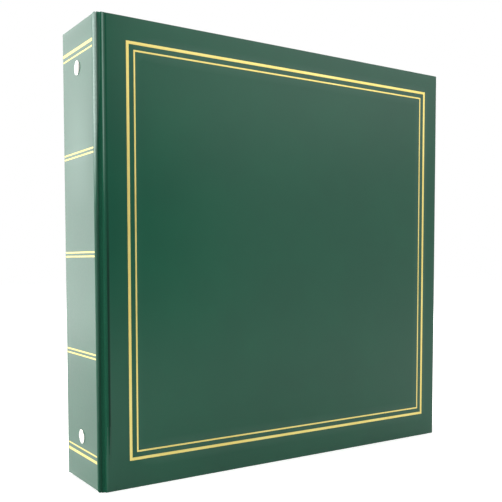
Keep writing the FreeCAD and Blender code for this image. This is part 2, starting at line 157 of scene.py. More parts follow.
def wrapped_sheet(across, along, board, edge, end, turn_in, lift):
    """Sheet wrapped over a board: points (across, along, outwards) in mm, and quads.

    A grid covers the outer face. Rings go on from its border over the board's edge and along the inner
    face, drawn in to turn_in. A point p of this sharp box is rounded to c + edge * (p - c) / |p - c|,
    where c is p moved into the box that is smaller by edge all round. The glued side is the same with
    edge - SKIN in place of edge. Lengths along are stretched by edge / end meanwhile, so the two ends get
    the round end instead of edge. lift(across, along) is added to the outer face and fades out to mid depth.
    """
    stretch = edge / end
    along = along * stretch
    a, b = (part.ravel() for part in np.meshgrid(across, along, indexing="ij"))
    cell = np.arange(a.size).reshape(len(across), len(along))
    border = np.concatenate([cell[:-1, 0], cell[-1, :-1], cell[:0:-1, -1], cell[0, :0:-1]])
    turn = round_lines(edge)
    side = np.unique(np.round(np.concatenate([turn[1:], board - turn]), 4))
    inner = np.concatenate([turn[1:], np.linspace(edge, turn_in, 4)[1:]])
    depth = np.concatenate([side, np.full(len(inner), board)])
    inset = np.concatenate([np.zeros(len(side)), inner])
    middle = np.array([across[0] + across[-1], along[0] + along[-1]]) / 2
    half = np.array([across[-1] - across[0], along[-1] - along[0]]) / 2
    flat = np.stack([a[border], b[border]], axis=1) - middle
    rings = middle + flat[None] * (1 - inset[:, None] * np.array([1, stretch]) / half)[:, None, :]
    level = np.broadcast_to(-depth[:, None, None], rings.shape[:2] + (1,))
    face = np.stack([a, b, np.zeros(a.size)], axis=1)
    sharp = np.concatenate([face, np.concatenate([rings, level], axis=2).reshape(-1, 3)])
    low = np.array([across[0] + edge, along[0] + edge, edge - board])
    high = np.array([across[-1] - edge, along[-1] - edge, -edge])
    core = np.clip(sharp, low, high)
    way = (sharp - core) / np.linalg.norm(sharp - core, axis=1, keepdims=True)
    outer = core + edge * way
    outer[:, 2] += lift(sharp[:, 0], sharp[:, 1] / stretch) * rise(sharp[:, 2], -board / 2, 0)
    glued = core + (edge - SKIN) * way
    count = len(border)
    loops = np.concatenate([border[None], a.size + np.arange(len(depth) * count).reshape(-1, count)])
    squares = np.stack([cell[:-1, :-1], cell[1:, :-1], cell[1:, 1:], cell[:-1, 1:]], axis=-1).reshape(-1, 4)
    quads = np.concatenate([squares, tube_quads(loops)])
    last, after = loops[-1], np.roll(loops[-1], -1)
    hem = np.stack([last, last + len(sharp), after + len(sharp), after], axis=-1)
    points = np.concatenate([outer, glued]) / np.array([1, stretch, 1])
    return points, np.concatenate([quads, quads[:, ::-1] + len(sharp), hem])


def add_piece(name, mesh, material, body, nodes, sharp=40):
    """Object for a finished mesh: smooth but for edges sharper than sharp degrees, riding on a body."""
    mesh.polygons.foreach_set("use_smooth", np.ones(len(mesh.polygons), dtype=bool))
    mesh.set_sharp_from_angle(angle=math.radians(sharp))
    mesh.materials.clear()
    mesh.materials.append(material)
    piece = bpy.data.objects.new(name, mesh)
    bpy.context.scene.collection.objects.link(piece)
    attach(piece, body)
    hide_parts(*nodes)
    return piece


def make_piece(name, points, faces, material, body, slot, *nodes):
    """New piece from points in mm, with its faces turned outwards, in place of CAD nodes."""
    mesh = bpy.data.meshes.new(name)
    mesh.from_pydata((points * MM).tolist(), [], [list(face) for face in faces])
    work = bmesh.new()
    work.from_mesh(mesh)
    bmesh.ops.recalc_face_normals(work, faces=work.faces)
    work.to_mesh(mesh)
    work.free()
    return add_piece(name, mesh, material, body, nodes)


def extents(node):
    """Lowest and highest corner of a CAD node in mm, as two arrays."""
    return tuple(np.array(corner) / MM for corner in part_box(node))


def paint_shade(tree, colour, shade_colour):
    """Darken a colour towards a dark one where the stored attribute is below 0, fully at -1: painted shade."""
    wear_and_painted_light = add_node(tree, "Attribute", {}, attribute_name="wear_and_painted_light")
    painted_shade = add_node(tree, "Math", {0: wear_and_painted_light.outputs["Fac"], 1: -1.0}, operation="MULTIPLY", use_clamp=True)
    shaded = add_node(tree, "Mix", {0: painted_shade.outputs[0], 6: colour, 7: linear(shade_colour)}, data_type="RGBA")
    return shaded.outputs[2]


# Coated fabric: a dyed film with a fine embossed grain under a thin clear finish, so it has a soft sheen.
# The grain of 0.6 mm is as fine as the real one. Abraded edges are paler, and the same pale tint is painted
# highlight high on the spine's round edges and on the roll by each hinge. A dark green is painted shade in the
# hinge crease, over the margin beside it and low on the spine's round edges.
leatherette, tree, shader, place = start_material("green_leatherette")
grain = add_node(tree, "TexVoronoi", {"Vector": place, "Scale": per_mm(0.6), "Smoothness": 0.6},
                 feature="SMOOTH_F1")
creases = add_node(tree, "TexNoise", {"Vector": place, "Scale": per_mm(1.6), "Detail": 4.0})
relief = add_node(tree, "Math", {0: creases.outputs["Fac"], 1: 0.7, 2: grain.outputs["Distance"]},
                  operation="MULTIPLY_ADD")
embossed = add_node(tree, "Bump", {"Height": relief.outputs[0], "Strength": 0.5, "Distance": 0.02 * MM})
cloud = add_node(tree, "TexNoise", {"Vector": place, "Scale": per_mm(45), "Detail": 3.0})
dye = add_node(tree, "Mix", {0: cloud.outputs["Fac"], 6: linear("#0a4d39"), 7: linear("#0f5a41")},
               data_type="RGBA")
# The stored attribute holds edge abrasion and painted highlight above 0, which pale the dye, and painted shade
# below 0.
wear_and_painted_light = add_node(tree, "Attribute", {}, attribute_name="wear_and_painted_light")
bare = add_node(tree, "MapRange", {"Value": creases.outputs["Fac"], "To Min": 0.35, "To Max": 0.65})
wear_and_highlight = add_node(tree, "Math", {0: wear_and_painted_light.outputs["Fac"], 1: bare.outputs[0]}, operation="MULTIPLY")
wear_and_highlight_tint = add_node(tree, "Mix", {0: wear_and_highlight.outputs[0], 6: dye.outputs[2], 7: linear("#a3bcb2")},
                data_type="RGBA")
sheen = add_node(tree, "MapRange", {"Value": creases.outputs["Fac"], "To Min": 0.27, "To Max": 0.36})
set_sockets(tree, shader, {"Base Color": paint_shade(tree, wear_and_highlight_tint.outputs[2], "#063527"),
                           "Roughness": sheen.outputs[0], "IOR": 1.42, "Normal": embossed.outputs["Normal"]})


def mark_wear_and_painted_light(piece, outward, strength, crease):
    """Store the edge abrasion and painted light of each point: strength where the surface turns away from its flat
    faces, 0 on them.

    With flatness as the size of the normal along the axis outward, that is a bell of half width EDGE_SPREAD
    round EDGE_FLATNESS. crease(x, z) is added to it: painted highlight above 0, and painted shade below 0.
    """
    mesh = piece.data
    normal, spot = (np.zeros(3 * len(mesh.vertices), dtype=np.float32) for _ in range(2))
    mesh.vertices.foreach_get("normal", normal)
    mesh.vertices.foreach_get("co", spot)
    flatness = np.abs(normal.reshape(-1, 3)[:, outward])
    x, _, z = spot.reshape(-1, 3).T / MM
    value = strength * rise(np.abs(flatness - EDGE_FLATNESS), EDGE_SPREAD, 0) + crease(x, z)
    mesh.attributes.new("wear_and_painted_light", "FLOAT", "POINT").data.foreach_set("value", value.astype(np.float32))


# Ironed cloth: the bone folder that works the hinges leaves the leatherette matt and a little darker there.
# Its weave of 0.8 mm, drawn coarser than the real 0.3 mm, shows through. Painted shade darkens it in creases too.
hinge_cloth, tree, shader, place = start_material("ironed_hinge_cloth")
weave = add_node(tree, "TexVoronoi", {"Vector": place, "Scale": per_mm(0.8)})
shade = add_node(tree, "Mix", {0: weave.outputs["Distance"], 6: linear("#0c4d38"), 7: linear("#10583f")},
                 data_type="RGBA")
ribbed = add_node(tree, "Bump", {"Height": weave.outputs["Distance"], "Strength": 0.4, "Distance": 0.03 * MM})
set_sockets(tree, shader, {"Base Color": paint_shade(tree, shade.outputs[2], "#042a1e"), "Roughness": 0.8,
                           "IOR": 1.33, "Normal": ribbed.outputs["Normal"]})


def iron_matt(piece, ironed):
    """Give a piece the matt cloth on the faces whose middle is where ironed(x, y, z) is true, in mm."""
    mesh = piece.data
    mesh.materials.append(hinge_cloth)
    middle = np.zeros(3 * len(mesh.polygons), dtype=np.float32)
    mesh.polygons.foreach_get("center", middle)
    mesh.polygons.foreach_set("material_index", ironed(*middle.reshape(-1, 3).T / MM).astype(np.int32))


COVER_EDGE = 0.75
TURN_IN = 15.0
RULES = ((0.0, 1.95), (4.7, 1.15))
FACE_PITCH = 6.0
COVER_WEAR = 0.25
cover_low, cover_high = extents("front_skin")
panel = cover_high[1] - cover_low[1]
frame_low, frame_high = extents("front_foil_frame")
frame_middle = (frame_low + frame_high) / 2
frame_half = (frame_high - frame_low) / 2 - RULES[0][1] / 2

FRONT_WAVE = (0, 0)
BACK_WAVE = (70, 40)
WAVE_HELD = 15.0


def cover_wave(x, z, shift):
    """Slight waviness of a glued cover, in mm, moved by shift, so that the two covers aren't alike.

    It is 0.06 of two crossed sines, of 210 and 260 mm, and 0.03 of one aslant of 150 mm. It grows from 0 at
    the hinge, where the press holds the skin on the board, to its full size at WAVE_HELD from there.
    """
    held = rise(x - cover_low[0], 0, WAVE_HELD)
    x, z = x + shift[0], z + shift[1]
    across = np.sin(2 * np.pi * x / 210 + 0.6) * np.sin(2 * np.pi * z / 260 + 1.1)
    aslant = np.sin(2 * np.pi * (x + 0.7 * z) / 150)
    return held * (0.06 * across + 0.03 * aslant)


def rule_distance(x, z, step):
    """Distance from the middle of a rule: the larger of |x| - half width and |z| - half height."""
    return np.maximum(np.abs(x - frame_middle[0]) - frame_half[0] + step,
                      np.abs(z - frame_middle[2]) - frame_half[2] + step)


# The marks of the press beside each hinge, in mm: first their depth and their distance from the cover's edge,
# then the heights on the cover between which they set in or run out.
SHOULDER_DROP = 0.65
SHOULDER = 1.9
STEP_DROP = 0.34
STEP = (2.3, 3.1)
STEP_FADE = 5.0
STEP_ENDS = (0, 40)


def hinge_press(x, z):
    """The press irons the skin down beside the hinge, and leaves a roll along the cover's edge.

    At the distance d from the edge the roll's shoulder falls by SHOULDER_DROP (1 - d / SHOULDER)^2. Its other
    side is a step of STEP_DROP down to the field, q^2 (3 - 2q) with q from 0 to 1 over STEP, which fades out
    as exp(-d / STEP_FADE) beyond it. The step grows from 0 at the lower end to its full height.
    """
    from_edge = x - cover_low[0]
    shoulder = SHOULDER_DROP * rise(from_edge, SHOULDER, 0) ** 2
    q = rise(from_edge, *STEP)
    step = STEP_DROP * q ** 2 * (3 - 2 * q) * np.exp(-np.clip(from_edge - STEP[1], 0, None) / STEP_FADE)
    return -shoulder - step * rise(z, *STEP_ENDS)


# Painted highlight on the upper roll, and painted shade in the crease and over the margin beside the hinge.
ROLL_HIGHLIGHT_HEIGHTS = (170, 230)
CREASE = (2.5, 3.9)
CREASE_PAINTED_SHADE = 0.8
CREASE_STARTS = (220, 140)
CREASE_ENDS = (15, 45)
MARGIN_PAINTED_SHADE = 0.2


def hinge_painted_light(x, z):
    """Painted highlight on the roll beside the hinge, less painted shade there, at the distance d from the cover's
    edge.

    The painted highlight is exp(-((d - 1.2) / 0.6)^2) and fades out towards mid height. Painted shade of
    CREASE_PAINTED_SHADE lies in the crease behind the roll, from mid height down to near the lower end, and a bell
    of
    MARGIN_PAINTED_SHADE of it over the margin, exp(-((d - 8) / 14)^2).
    """
    from_edge = x - cover_low[0]
    roll = rise(z, *ROLL_HIGHLIGHT_HEIGHTS) * np.exp(-((from_edge - 1.2) / 0.6) ** 2)
    in_crease = (from_edge > CREASE[0]) & (from_edge < CREASE[1])
    crease = CREASE_PAINTED_SHADE * rise(z, *CREASE_STARTS) * rise(z, *CREASE_ENDS) * in_crease
    return roll - crease - MARGIN_PAINTED_SHADE * np.exp(-((from_edge - 8) / 14) ** 2)


CROWN_MIDDLE = 1.65
CROWN_HALF = 0.95
CROWN_STARTS = (130, 210)
LOW_END = (45, 20)
OUTER_FOOT = 3.8
LOW_FOOT = 2.5
EDGE_DEPTH = 2.0


def hinge_crease(x, y, z):
    """Both feet of the roll, out to OUTER_FOOT from the edge, and the edge down to EDGE_DEPTH below the face.

    The crown between them stays glossy, CROWN_HALF to both sides of its middle. It narrows to nothing towards
    mid height, and comes back over LOW_END, where the outer foot draws in to LOW_FOOT.
    """
    from_edge = x - cover_low[0]
    low_end = rise(z, *LOW_END)
    crown = CROWN_HALF * np.maximum(rise(z, *CROWN_STARTS), low_end)
    foot = OUTER_FOOT + (LOW_FOOT - OUTER_FOOT) * low_end
    on_feet = (from_edge < foot) & (np.abs(from_edge - CROWN_MIDDLE) > crown)
    return on_feet & (np.abs(y) > -cover_low[1] - EDGE_DEPTH)


def front_lift(x, z):
    """Outer face of the front cover: waviness, the roll beside the hinge, and the channel under each rule."""
    level = cover_wave(x, z, FRONT_WAVE) + hinge_press(x, z)
    for step, width in RULES:
        level = level - PRESSED * (np.abs(rule_distance(x, z, step)) < width / 2)
    return level


def back_lift(x, z):
    """Outer face of the back cover: waviness and the roll beside the hinge."""
    return cover_wave(x, z, BACK_WAVE) + hinge_press(x, z)


def cover_lines(axis, marks):
    """Grid lines of a cover along one axis of the album."""
    return grid_lines(cover_low[axis], cover_high[axis], COVER_EDGE, marks, FACE_PITCH)


# Lines lie 0.1 mm apart over the roll and its step, and wider over the margin.
hinge_marks = cover_low[0] + np.concatenate([np.arange(0.8, 4.0, 0.1), np.arange(4.5, 20, 1.5)])
rule_marks = {axis: [mark for step, width in RULES for end in (-1, 1)
                     for mark in channel_marks(frame_middle[axis] + end * (frame_half[axis] - step), width)]
              for axis in (0, 2)}

across = cover_lines(0, np.concatenate([rule_marks[0], hinge_marks]))
along = cover_lines(2, rule_marks[2])
points, quads = wrapped_sheet(across, along, panel, COVER_EDGE, COVER_EDGE, TURN_IN, front_lift)
placed = np.stack([points[:, 0], cover_low[1] - points[:, 2], points[:, 1]], axis=1)
front_skin = make_piece("front_cover_skin", placed, quads, leatherette, "front_cover", "leatherette",
                        "front_skin")
mark_wear_and_painted_light(front_skin, 1, COVER_WEAR, hinge_painted_light)
iron_matt(front_skin, hinge_crease)

across = cover_lines(0, hinge_marks)
along = cover_lines(2, [])
points, quads = wrapped_sheet(across, along, panel, COVER_EDGE, COVER_EDGE, TURN_IN, back_lift)
placed = np.stack([points[:, 0], points[:, 2] - cover_low[1], points[:, 1]], axis=1)
back_skin = make_piece("back_cover_skin", placed, quads, leatherette, "back_cover", "leatherette",
                       "back_skin")
mark_wear_and_painted_light(back_skin, 1, COVER_WEAR, hinge_painted_light)
iron_matt(back_skin, hinge_crease)

SPINE_END = 0.75
SPINE_PITCH = 4.0
SPINE_WEAR = 0.2
HOLLOW = 0.05
THICK_BAND = 1.9
THIN_BAND = 1.05
END_PAIR = 3.85
TWIN = 1.3
ROW_INSET = 2.55
BAND_RUN_ON = 0.4
spine_low, spine_high = extents("spine_skin")
spine_height = spine_high[2] - spine_low[2]
bands_low, bands_high = extents("spine_foil_bands")
bead = panel / 2
band_middle = (bands_low[2] + bands_high[2]) / 2
band_reach = (bands_high[2] - bands_low[2] - THICK_BAND) / 2
row_reach = (band_reach - ROW_INSET) / 2
band_half = bands_high[1] + BAND_RUN_ON

# Bands as (height from the middle, width): a thick and a thin line at both ends, and three rows of twin lines.
BANDS = [(end * band_reach, THICK_BAND) for end in (-1, 1)]
BANDS += [(end * (band_reach - END_PAIR), THIN_BAND) for end in (-1, 1)]
BANDS += [(row * row_reach + half * TWIN, THIN_BAND) for row in (-1, 0, 1) for half in (-1, 1)]


def spine_hollow(y, z):
    """Slight hollow of the spine: HOLLOW deep in its middle, as cos across and sin^2 along."""
    share = rise(z, spine_low[2], spine_high[2])
    return -HOLLOW * np.clip(np.cos(np.pi * y / (2 * band_half)), 0, 1) * np.sin(np.pi * share) ** 2


def spine_lift(y, z):
    """Outer face of the spine: a slight hollow from end to end, and the channel under each band."""
    level = spine_hollow(y, z)
    for height, width in BANDS:
        pressed = (np.abs(z - band_middle - height) < width / 2) & (np.abs(y) < band_half)
        level = level - PRESSED * pressed
    return level


END_REACH = 1.3
END_LENGTH = 8.0


def bead_ends(points):
    """The cloth runs on from spine to cover, so the round edges reach END_REACH further at both ends.

    The reach grows with |across| over the round edge, and with the square of |along| over END_LENGTH.
    """
    beside = rise(np.abs(points[:, 0]), spine_high[1] - bead, spine_high[1])
    from_middle = points[:, 1] - (spine_low[2] + spine_high[2]) / 2
    near_end = rise(np.abs(from_middle), spine_height / 2 - END_LENGTH, spine_height / 2)
    return END_REACH * np.sign(from_middle) * beside * near_end ** 2


# Painted highlight on the spine's round edges high up, and painted shade on them low down.
BEAD_PAINTED_HIGHLIGHT = 1.6
BEAD_PAINTED_SHADE = 0.6
BEAD_HIGHLIGHT_HEIGHTS = (172, 230)
BEAD_WIDER = (215, 255)


def bead_painted_light(x, z):
    """Painted highlight up to BEAD_PAINTED_HIGHLIGHT on the crown of the spine's round edges high up, and painted
    shade low down.

    The depth behind the spine's face is counted in radii: the highlight sets in by 0.1 and ends from 0.8 to 1.2,
    or higher up from 1.2 to 2.4. The shade sets in by 0.3.
    """
    upper = rise(z, *BEAD_HIGHLIGHT_HEIGHTS)
    wider = rise(z, *BEAD_WIDER)
    depth = (x - spine_low[0]) / bead
    behind = rise(depth, 0.8 + 0.4 * wider, 1.2 + 1.2 * wider)
    wear_and_highlight = BEAD_PAINTED_HIGHLIGHT * upper * (1 - behind) * rise(depth, 0, 0.1)
    painted_shade = BEAD_PAINTED_SHADE * (1 - upper) * rise(depth, 0, 0.3)
    return wear_and_highlight - painted_shade


def bead_flank(x, y, z):
    """The side of each round edge that looks into the hinge, which the folder irons more and more low down.

    It starts 0.2 of the radius behind the face at the lower end, and 2.2 of it more at the upper end.
    """
    share = (z - spine_low[2]) / spine_height
    return (np.abs(y) > spine_high[1] - bead) & (x > spine_low[0] + (0.2 + 2.2 * share) * bead)


band_marks = [mark for height, width in BANDS for mark in channel_marks(band_middle + height, width)]
across = grid_lines(spine_low[1], spine_high[1], bead, channel_marks(0, 2 * band_half), SPINE_PITCH)
along = grid_lines(spine_low[2], spine_high[2], SPINE_END, band_marks, FACE_PITCH)
points, quads = wrapped_sheet(across, along, panel, bead, SPINE_END, TURN_IN, spine_lift)
placed = np.stack([spine_low[0] - points[:, 2], -points[:, 0], points[:, 1] + bead_ends(points)], axis=1)
spine_skin = make_piece("spine_cover_skin", placed, quads, leatherette, "spine", "leatherette", "spine_skin")
mark_wear_and_painted_light(spine_skin, 0, SPINE_WEAR, bead_painted_light)
iron_matt(spine_skin, bead_flank)


# Hinges: a web of the same leatherette joins each cover to the round edge of the spine.
# It is ironed into the groove with a bone folder, so it lies hollow, and it is turned in at both ends.

BEAD_LAP = 8.0
WEB_BACK = 0.65
WEB_TUCK = 0.05
LEAVE_BEAD = 0.6
MEET_COVER = (-0.6, -0.35)
END_FILL = 0.5
FILL_LENGTH = 5.0
FOLDER_START = 40.0
FOLDER_SLANT = 20.0


def hinge_web(side):
    """Web of one hinge: a section carried up the album, as rings of points in mm, and faces.

    Seen from above, the section starts on the bead at BEAD_LAP, follows a cubic curve
    (1-t)^3 A + 3t(1-t)^2 B + 3t^2(1-t) C + t^3 D down into the groove and up to the cover's edge,
    returns flat on the inner side, and closes along the bead. Near both ends, where the cloth is turned in,
    the groove fills up by END_FILL * exp(-(d / FILL_LENGTH)^2) at the distance d from the end. The rings lie
    closer over the last 18 mm.
    """
    low, high = extents("front_hinge_cloth")
    bottom, top = low[2], high[2]
    height = np.concatenate([bottom + np.linspace(0, 18, 28), np.linspace(bottom + 24, top - 24, 30),
                             top - np.linspace(18, 0, 28)])
    fill = END_FILL * np.exp(-(np.minimum(height - bottom, top - height) / FILL_LENGTH) ** 2)
    lap = math.radians(BEAD_LAP)
    t = np.linspace(0, 1, 13)[:, None]
    start = bead * np.array([math.cos(lap), math.sin(lap)])
    finish = np.array([cover_low[0] - spine_low[0] - bead + WEB_TUCK, WEB_TUCK])
    leave = start + LEAVE_BEAD * np.array([math.sin(lap), -math.cos(lap)])
    meet = finish + np.array(MEET_COVER)
    curve = ((1 - t) ** 3 * start + 3 * t * (1 - t) ** 2 * leave
             + 3 * t ** 2 * (1 - t) * meet + t ** 3 * finish)
    inner = np.array([[finish[0], -WEB_BACK], [bead, -WEB_BACK], [bead, 0.0]])
    turn = np.linspace(0, lap, 5)[1:-1]
    on_bead = bead * np.stack([np.cos(turn), np.sin(turn)], axis=1)
    section = np.concatenate([curve, inner, on_bead])
    bowl = np.zeros(len(section))
    bowl[:len(curve)] = np.sin(np.pi * np.clip(t[:, 0], 0, 0.5)) ** 2
    out = section[None, :, 1] + fill[:, None] * bowl[None]
    points = np.stack([np.broadcast_to(spine_low[0] + bead + section[None, :, 0], out.shape),
                       side * (spine_high[1] - bead + out),
                       np.broadcast_to(height[:, None], out.shape)], axis=2)
    ring = np.arange(out.size).reshape(out.shape)
    return points.reshape(-1, 3), [*tube_quads(ring).tolist(), ring[0].tolist(), ring[-1].tolist()]


def folder_path(x, y, z):
    """The folder goes down to the lower end.

    It starts FOLDER_START below the upper one at the cover's edge, and FOLDER_SLANT lower for each mm
    towards the spine.
    """
    return z < cover_high[2] - FOLDER_START - FOLDER_SLANT * (cover_low[0] - x)


for side, name in ((-1, "front"), (1, "back")):
    points, faces = hinge_web(side)
    web = make_piece(name + "_hinge_web", points, faces, leatherette, name + "_cover", "leatherette",
                     name + "_hinge_cloth")
    iron_matt(web, folder_path)


# Gold foil: two rules round the front cover and ten lines across the spine, hot-pressed from a gold ribbon.
# The die leaves a thin, slightly domed skin of metal a hair below the surface of the leatherette.
# It takes up the grain below, drawn here at 1.1 mm, coarser than real, so its shine is broken and soft.

FOIL = 0.08
DOME = 0.03
gold, tree, shader, place = start_material("hot_pressed_gold_foil")
film = add_node(tree, "TexNoise", {"Vector": place, "Scale": per_mm(1.1), "Detail": 4.0})
tarnish = add_node(tree, "TexNoise", {"Vector": place, "Scale": per_mm(18), "Detail": 3.0})
tint = add_node(tree, "Mix", {0: tarnish.outputs["Fac"], 6: linear("#d6c168"), 7: linear("#e3d68c")},
                data_type="RGBA")
lustre = add_node(tree, "MapRange", {"Value": film.outputs["Fac"], "To Min": 0.32, "To Max": 0.5})
uneven = add_node(tree, "Bump", {"Height": film.outputs["Fac"], "Strength": 0.4, "Distance": 0.02 * MM})
set_sockets(tree, shader, {"Base Color": tint.outputs[2], "Metallic": 1.0, "Roughness": lustre.outputs[0],
                           "Normal": uneven.outputs["Normal"]})


def foil_section(width):
    """Section of a foil line: flat below, domed above by DOME * (1 - (2q)^2), as (across, outwards) in mm."""
    q = np.linspace(-0.5, 0.5, 7)
    top = np.stack([q * (width - 2 * CHANNEL_WALL), FOIL - PRESSED - DOME * (2 * q) ** 2], axis=1)
    base = np.stack([q[[-1, 0]] * (width - 2 * CHANNEL_WALL), np.full(2, -PRESSED)], axis=1)
    return np.concatenate([top, base])


def rule_piece(step, width):
    """One rule of the frame: the section carried round a rectangle that grows by the section's width.

    A point is middle + sign * (half - step + across), with sign going from corner to corner.
    """
    section = foil_section(width)
    corner = np.array([[-1, -1], [1, -1], [1, 1], [-1, 1], [-1, -1]])
    share = np.linspace(0, 1, 60)[:-1, None]
    sign = np.concatenate([a + (b - a) * share for a, b in zip(corner[:-1], corner[1:])])
    half = frame_half[[0, 2]] - step
    flat = frame_middle[[0, 2]] + sign[:, None, :] * (half + section[:, :1])[None]
    out = section[None, :, 1] + cover_wave(flat[..., 0], flat[..., 1], FRONT_WAVE)
    points = np.stack([flat[..., 0], cover_low[1] - out, flat[..., 1]], axis=2)
    ring = np.arange(out.size).reshape(out.shape)
    return points.reshape(-1, 3), tube_quads(np.concatenate([ring, ring[:1]]))


def join_shapes(shapes):
    """Several shapes as one mesh: their points in a row, and their faces counted on."""
    start = np.cumsum([0] + [len(points) for points, _ in shapes])
    faces = [[index + first for index in face] for (_, faces), first in zip(shapes, start) for face in faces]
    return np.concatenate([points for points, _ in shapes]), faces


def band_piece(height, width):
    """One line across the spine: the section carried from edge to edge, with its two ends closed."""
    section = foil_section(width)
    y = np.linspace(-1, 1, 25) * (band_half - CHANNEL_WALL)
    z = band_middle + height + section[:, 0]
    out = section[None, :, 1] + spine_hollow(y[:, None], z[None])
    points = np.stack([spine_low[0] - out, np.broadcast_to(y[:, None], out.shape),
                       np.broadcast_to(z[None], out.shape)], axis=2)
    ring = np.arange(out.size).reshape(out.shape)
    return points.reshape(-1, 3), [*tube_quads(ring).tolist(), ring[0].tolist(), ring[-1].tolist()]


points, faces = join_shapes([rule_piece(step, width) for step, width in RULES])
make_piece("front_gold_frame", points, faces, gold, "front_cover", "gold_foil", "front_foil_frame")
points, faces = join_shapes([band_piece(height, width) for height, width in BANDS])
make_piece("spine_gold_bands", points, faces, gold, "spine", "gold_foil", "spine_foil_bands")


# Liners: ivory endpaper is pasted over the turned-in edges, inside each cover and the spine.
# It is uncoated stock, so its fibres show as a faint cloud and a dry, matt face.

endpaper, tree, shader, place = start_material("ivory_endpaper")
pulp = add_node(tree, "TexNoise", {"Vector": place, "Scale": per_mm(2.5), "Detail": 6.0, "Roughness": 0.65})
stock = add_node(tree, "Mix", {0: pulp.outputs["Fac"], 6: linear("#ddd2b6"), 7: linear("#efe7d2")},
                 data_type="RGBA")
tooth = add_node(tree, "Bump", {"Height": pulp.outputs["Fac"], "Strength": 0.4, "Distance": 0.03 * MM})
set_sockets(tree, shader, {"Base Color": stock.outputs[2], "Roughness": 0.85, "IOR": 1.45,
                           "Normal": tooth.outputs["Normal"]})
dress(endpaper, "front_liner", "back_liner", "spine_liner")


# Ring metal: a pressed steel housing with its posts, pins, blades and levers, all nickel plated.
# Plating over pressed sheet is bright, with faint draw marks along the strip.
# The marks are 0.8 mm wide, drawn coarser than the real ones, and 25 times as long.

PLATED_SHARP = 30
MERGE = 0.001
nickel, tree, shader, place = start_material("bright_nickel_plate")
drawn = add_node(tree, "Mapping", {"Vector": place, "Scale": (1.0, 1.0, 0.04)})
marks = add_node(tree, "TexNoise", {"Vector": drawn.outputs[0], "Scale": per_mm(0.8), "Detail": 3.0})
plate = add_node(tree, "Mix", {0: marks.outputs["Fac"], 6: linear("#d6d3cc"), 7: linear("#e9e7e2")},
                 data_type="RGBA")
gloss = add_node(tree, "MapRange", {"Value": marks.outputs["Fac"], "To Min": 0.12, "To Max": 0.24})
set_sockets(tree, shader, {"Base Color": plate.outputs[2], "Metallic": 1.0, "Roughness": gloss.outputs[0]})
body_of = {node: body for body, nodes in frame["record"]["behaviour"]["bodies"].items() for node in nodes}


def plated_copy(node):
    """Merged copy of a CAD node, smooth over its curves and flat on its flats."""
    mesh = frame["nodes"][node].data.copy()
    work = bmesh.new()
    work.from_mesh(mesh)
    bmesh.ops.remove_doubles(work, verts=work.verts, dist=MERGE * MM)
    work.to_mesh(mesh)
    work.free()
    piece = add_piece("plated_" + node, mesh, nickel, body_of[node], [node], PLATED_SHARP)
    flats = piece.modifiers.new("flats", "WEIGHTED_NORMAL")
    flats.keep_sharp = True


for node in ("ring_housing", "lower_mounting_post", "upper_mounting_post", "lower_lever_pin",
             "upper_lever_pin", "front_blade", "back_blade", "lower_lever", "upper_lever"):
    plated_copy(node)


# Rivets: a domed head on the spine, a shank through board and post, and a flared end on the housing.
# They are turned from brass and nickel plated before they are set.

HEAD_RADIUS = 4.6
HEAD_HEIGHT = 1.1
HEAD_RIM = 0.3
HEAD_CHAMFER = 0.15
SHANK = 2.0
FLARE = 3.0
FLARE_HEIGHT = 0.7
BORE = 1.3
BORE_DEPTH = 5.0
RIVET_SIDES = 64


def used_only(points, faces):
    """Points that the faces use, in the same order, and the faces counted on them."""
    used, order = np.unique(np.concatenate(faces), return_inverse=True)
    ends = np.cumsum([len(face) for face in faces])[:-1]
    return points[used], [face.tolist() for face in np.split(order, ends)]


def without_repeats(quads):
    """Faces as lists with each point once, so that a quad at a pole becomes a triangle."""
    return [list(dict.fromkeys(quad)) for quad in quads.tolist()]


def rivet_piece(node):
    """Rivet as a profile (x, radius) turned once round its axis, closed at both poles.

    The head is a cap of the sphere through its rim, R = (radius^2 + cap^2) / (2 cap), with cap as its height.
    The inner end is flared out to FLARE and rolled over into the bore.
    """
    low, high = extents(node)
    cap = HEAD_HEIGHT - HEAD_RIM
    sphere = (HEAD_RADIUS ** 2 + cap ** 2) / (2 * cap)
    dome = np.linspace(0, 1, 12) * math.asin(HEAD_RADIUS / sphere)
    head = np.stack([low[0] + sphere * (1 - np.cos(dome)), sphere * np.sin(dome)], axis=1)
    under = low[0] + HEAD_HEIGHT
    tip = high[0]
    flare = tip - FLARE_HEIGHT
    floor = tip - BORE_DEPTH
    rest = np.array([[under - HEAD_CHAMFER, HEAD_RADIUS], [under, HEAD_RADIUS - HEAD_CHAMFER],
                     [under, SHANK], [flare, SHANK], [flare, FLARE], [flare + 0.35, 2.85], [tip, 2.2],
                     [tip, 1.5], [tip - 0.2, BORE], [floor, BORE], [floor, 0.0]])
    profile = np.concatenate([head, rest])
    turn = np.linspace(0, 2 * np.pi, RIVET_SIDES + 1)[:-1]
    middle = (low + high) / 2
    points = np.stack([np.broadcast_to(profile[:, :1], (len(profile), RIVET_SIDES)),
                       middle[1] + profile[:, 1:] * np.cos(turn),
                       middle[2] + profile[:, 1:] * np.sin(turn)], axis=2)
    ring = np.arange(points[..., 0].size).reshape(points.shape[:2])
    ring[0], ring[-1] = ring[0, 0], ring[-1, 0]
    return used_only(points.reshape(-1, 3), without_repeats(tube_quads(ring)))


for node in ("lower_rivet", "upper_rivet"):
    points, faces = rivet_piece(node)
    make_piece("plated_" + node, points, faces, nickel, "spine", "nickel_plate", node)


# Rings: wire of 3.5 mm bent round, one half staked through each blade.
# A peg on one tip enters a bore in the other, which keeps the closed ring in line.

WIRE = 1.75
RING_RADIUS = 17.75
RING_COUNT = 3
BLADE_TILT = 6.0
BLADE_HALF = 0.5
TIP_GAP = 0.1

